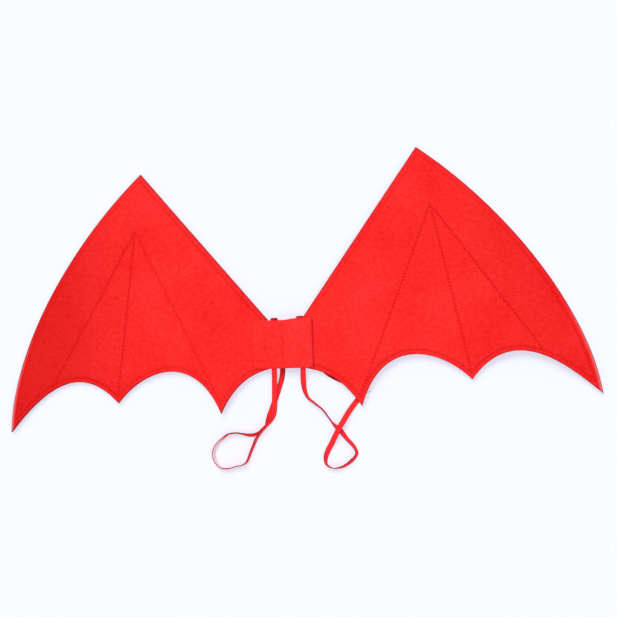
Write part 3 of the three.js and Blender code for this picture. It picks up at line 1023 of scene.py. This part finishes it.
def addStitches(side, layer):
    draw = random.Random(f"{side}{layer}")
    flat, isRay = [], []
    for seam in wingSeams[side]:
        flat += stitchLines(seam, draw)
        isRay += [seam["isRay"]] * seam["stitches"]
    places = np.vstack(flat)
    base, dip = wingBase(places, side), sewnDip(side, places)[0]
    arch = np.sin(np.linspace(0, math.pi, threadSet["stops"]))
    height = np.tile(threadSet["rise"] * arch - threadSet["sink"] * (1 - arch), len(flat))
    if layer == "Front":
        z = base + 2 * wingSet["thick"] + wingSet["layerGap"] - dip + height
    else:
        z = base + dip - height
    lines = list(np.column_stack([places, z]).reshape(len(flat), threadSet["stops"], 3))
    if (side, layer) == ("right", "Front"):
        lines.append(np.array(threadSet["tail"]))
        isRay.append(False)
    points, faces = tubeMesh(lines)
    piece = newPiece(f"{side}Stitches{layer}", points, faces, redThread)
    paintPoints(piece, "ray", np.repeat(isRay, [len(line) * threadSet["sides"] for line in lines]))
    if side == "left":
        mirrored(piece)
    return piece


stitches = {key: addStitches(*key) for key in wings}
print("stitches sewn:", sum(len(piece.data.polygons) for piece in stitches.values()), "faces")


# centre band: a felt rectangle draped over the wings and both elastics
bandSet = {
    "width": 0.0645,
    "height": 0.0530,
    "thick": 0.0016,
    "rounding": 0.0004,
    "place": (-0.0037, -0.0618),
    "turn": -2.1,    # degrees
    "feltTop": 0.0061,
    "rimStep": 0.001,
    "grid": 0.0011,
    "crowding": 0.0007,    # least gap between mesh points
    "wave": 0.00012,
    "waveSize": 0.014,
    "waveSeed": 5.0,
    "thinEdge": 0.0040,    # the left edge and the lower left corner are pressed thin
    "thinCorner": 0.022,
    "thin": 0.6,
    # painted shade on the cut edges, strongest along the raised right edge
    "edgeDark": {"left": 0.05, "top": 0.45, "right": 0.95, "bottom": 0.40},
    "darkStart": 0.010,    # no dark upper or lower edge near the left one
    "darkFade": 0.020,
    "crease": 0.12,    # how dark the painted shade in its middle crease shows
    "creaseHalf": 0.0020,
    "drapeStops": 12,
    # share of the half width, height of the underside over the wings
    "drape": [
        (-1.0, 0.0003), (-0.75, 0.00055), (-0.48, 0.0015), (-0.18, 0.00155), (-0.06, 0.0014),
        (0.0, 0.0008), (0.06, 0.0014), (0.36, 0.00155), (0.74, 0.00155), (1.0, 0.0009),
    ],
    # place across the band, how far its upper edge rises or sags there
    "upperEdge": [
        (-0.033, -0.0003), (-0.020, -0.0008), (-0.006, -0.0014), (0.003, -0.0012), (0.010, -0.0003),
        (0.020, 0.0005), (0.033, 0.0009),
    ],
}


# smooth curve through the drape's rows
def bandOver(x):
    rows = np.array(bandSet["drape"])
    padded = np.vstack([2 * rows[0] - rows[1], rows, 2 * rows[-1] - rows[-2]])
    fine = []
    for k in range(len(rows) - 1):
        p0, p1, p2, p3 = padded[k:k + 4]
        t = np.linspace(0, 1, bandSet["drapeStops"], endpoint=False)[:, None]
        fine.append(0.5 * (2 * p1 + (p2 - p0) * t + (2 * p0 - 5 * p1 + 4 * p2 - p3) * t * t
                           + (3 * p1 - p0 - 3 * p2 + p3) * t ** 3))
    fine = np.vstack([*fine, rows[-1:]])
    return np.interp(x / (bandSet["width"] / 2), fine[:, 0], fine[:, 1])


def addBand():
    half = np.array([bandSet["width"], bandSet["height"]]) / 2 - bandSet["rounding"]
    corners = half * np.array([(-1, -1), (-1, 1), (1, 1), (1, -1)])
    sides = zip(corners, np.roll(corners, -1, axis=0))
    rim = np.vstack([evenly(np.array(ends), bandSet["rimStep"])[:-1] for ends in sides])
    grid = honeycomb(-half, half, bandSet["grid"])
    plan = triangulate(thinOut([(rim, 0), (grid, bandSet["crowding"])]), len(rim))
    x, y = plan["places"].T
    edgeX, edgeY = np.array(bandSet["upperEdge"]).T
    plan["places"][:, 1] += np.interp(x, edgeX, edgeY) * smooth(y / half[1])
    size, seed = bandSet["waveSize"], bandSet["waveSeed"]
    wave = np.array([noise.noise((a / size, b / size, seed)) for a, b in plan["places"]])
    under = bandSet["feltTop"] + bandOver(x) + bandSet["wave"] * (0.5 + 0.5 * wave)
    atLeft = 1 - smooth((x + half[0]) / bandSet["thinEdge"])
    atCorner = 1 - smooth((x + half[0]) / bandSet["thinCorner"])
    atCorner *= 1 - smooth((y + half[1]) / bandSet["thinEdge"])
    upperZ = under + bandSet["thick"] * (1 - bandSet["thin"] * np.maximum(atLeft, atCorner))
    dark = bandSet["edgeDark"]
    ringX, ringY = rim.T
    edgeDark = np.where(ringY > 0, dark["top"], dark["bottom"])
    edgeDark *= smooth((ringX + half[0] - bandSet["darkStart"]) / bandSet["darkFade"])
    edgeDark[ringX <= -half[0] + hair] = dark["left"]
    edgeDark[ringX >= half[0] - hair] = dark["right"]
    piece = feltSlab("centreBand", plan, plan, upperZ, under, edgeDark, bandSet["rounding"],
                     bandFelt)
    # painted shade along the middle crease
    shade = np.zeros(len(piece.data.vertices))
    shade[:len(x)] = bandSet["crease"] * np.exp(-(x / bandSet["creaseHalf"]) ** 2)
    paintPoints(piece, "shade", shade)
    spin = Matrix.Rotation(math.radians(bandSet["turn"]), 4, "Z")
    piece.data.transform(Matrix.Translation((*bandSet["place"], 0)) @ spin)
    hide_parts("centre_band")


addBand()
print("band laid")


# floor and light
stageSet = {
    "floorSize": 6.0,
    "floorDrop": 0.0001,
    # the sweep behind the floor: where it starts, bends up and ends
    "sweepStart": 2.5,
    "sweepFlat": 6.0,
    "sweepBend": 2.5,
    "sweepTall": 6.0,
    "sweepSides": 72,
    "sweepStops": 13,    # points in the bend
    "sweepLow": -0.002,    # under the floor
    "floorColour": (0.428, 0.429, 0.398),
    "floorGlow": (0.450, 0.485, 0.610),    # a table lit from below
    "floorRoughness": 0.8,
    "floorSpecular": 0.1,
    "skyColour": (1.0, 1.0, 1.0),
    "skyStrength": 0.50,
    # strength, degrees across, turn in degrees and whether it casts shadows
    "lights": {
        "softKey": (1.90, 36, (-38, -12, 0), True),
        "softFill": (0.80, 60, (35, 25, 0), False),
    },
}


# a round sweep that only the camera sees, so it takes no light from the wings
def addSweep(material):
    bend, low = stageSet["sweepBend"], stageSet["sweepLow"]
    profile = [(stageSet["sweepStart"], low)]
    for turn in np.linspace(0, math.pi / 2, stageSet["sweepStops"]):
        profile.append((stageSet["sweepFlat"] + bend * math.sin(turn), low + bend * (1 - math.cos(turn))))
    profile.append((stageSet["sweepFlat"] + bend, stageSet["sweepTall"]))
    sides = stageSet["sweepSides"]
    points = [(r * math.cos(a), r * math.sin(a), z) for r, z in profile
              for a in np.linspace(0, 2 * math.pi, sides, endpoint=False)]
    faces = ringFaces(len(profile), sides)
    mesh = bpy.data.meshes.new("sweep")
    mesh.from_pydata(points, [], faces)
    mesh.polygons.foreach_set("use_smooth", [True] * len(faces))
    mesh.materials.append(material)
    sweep = bpy.data.objects.new("sweep", mesh)
    bpy.context.collection.objects.link(sweep)
    sweep.visible_diffuse = False
    sweep.visible_glossy = False
    sweep.visible_shadow = False


def addStage():
    bpy.ops.mesh.primitive_plane_add(size=stageSet["floorSize"], location=(0, 0, -stageSet["floorDrop"]))
    floor = bpy.context.object
    floor.name = "floor"
    material = bpy.data.materials.new("paleFloor")
    material.use_nodes = True
    setInputs(material.node_tree.nodes["Principled BSDF"], {
        "Base Color": (*stageSet["floorColour"], 1),
        "Emission Color": (*stageSet["floorGlow"], 1),
        "Emission Strength": 1,
        "Roughness": stageSet["floorRoughness"],
        "Specular IOR Level": stageSet["floorSpecular"],
    })
    floor.data.materials.append(material)
    addSweep(material)
    world = bpy.data.worlds.new("softStudio")
    world.use_nodes = True
    setInputs(world.node_tree.nodes["Background"], {
        "Color": (*stageSet["skyColour"], 1),
        "Strength": stageSet["skyStrength"],
    })
    bpy.context.scene.world = world
    for name, (strength, across, turn, shadows) in stageSet["lights"].items():
        data = bpy.data.lights.new(name, "SUN")
        data.energy = strength
        data.angle = math.radians(across)
        data.use_shadow = shadows
        light = bpy.data.objects.new(name, data)
        light.rotation_euler = [math.radians(angle) for angle in turn]
        bpy.context.collection.objects.link(light)
    bpy.context.scene.view_settings.view_transform = "Standard"


addStage()
print("stage lit")
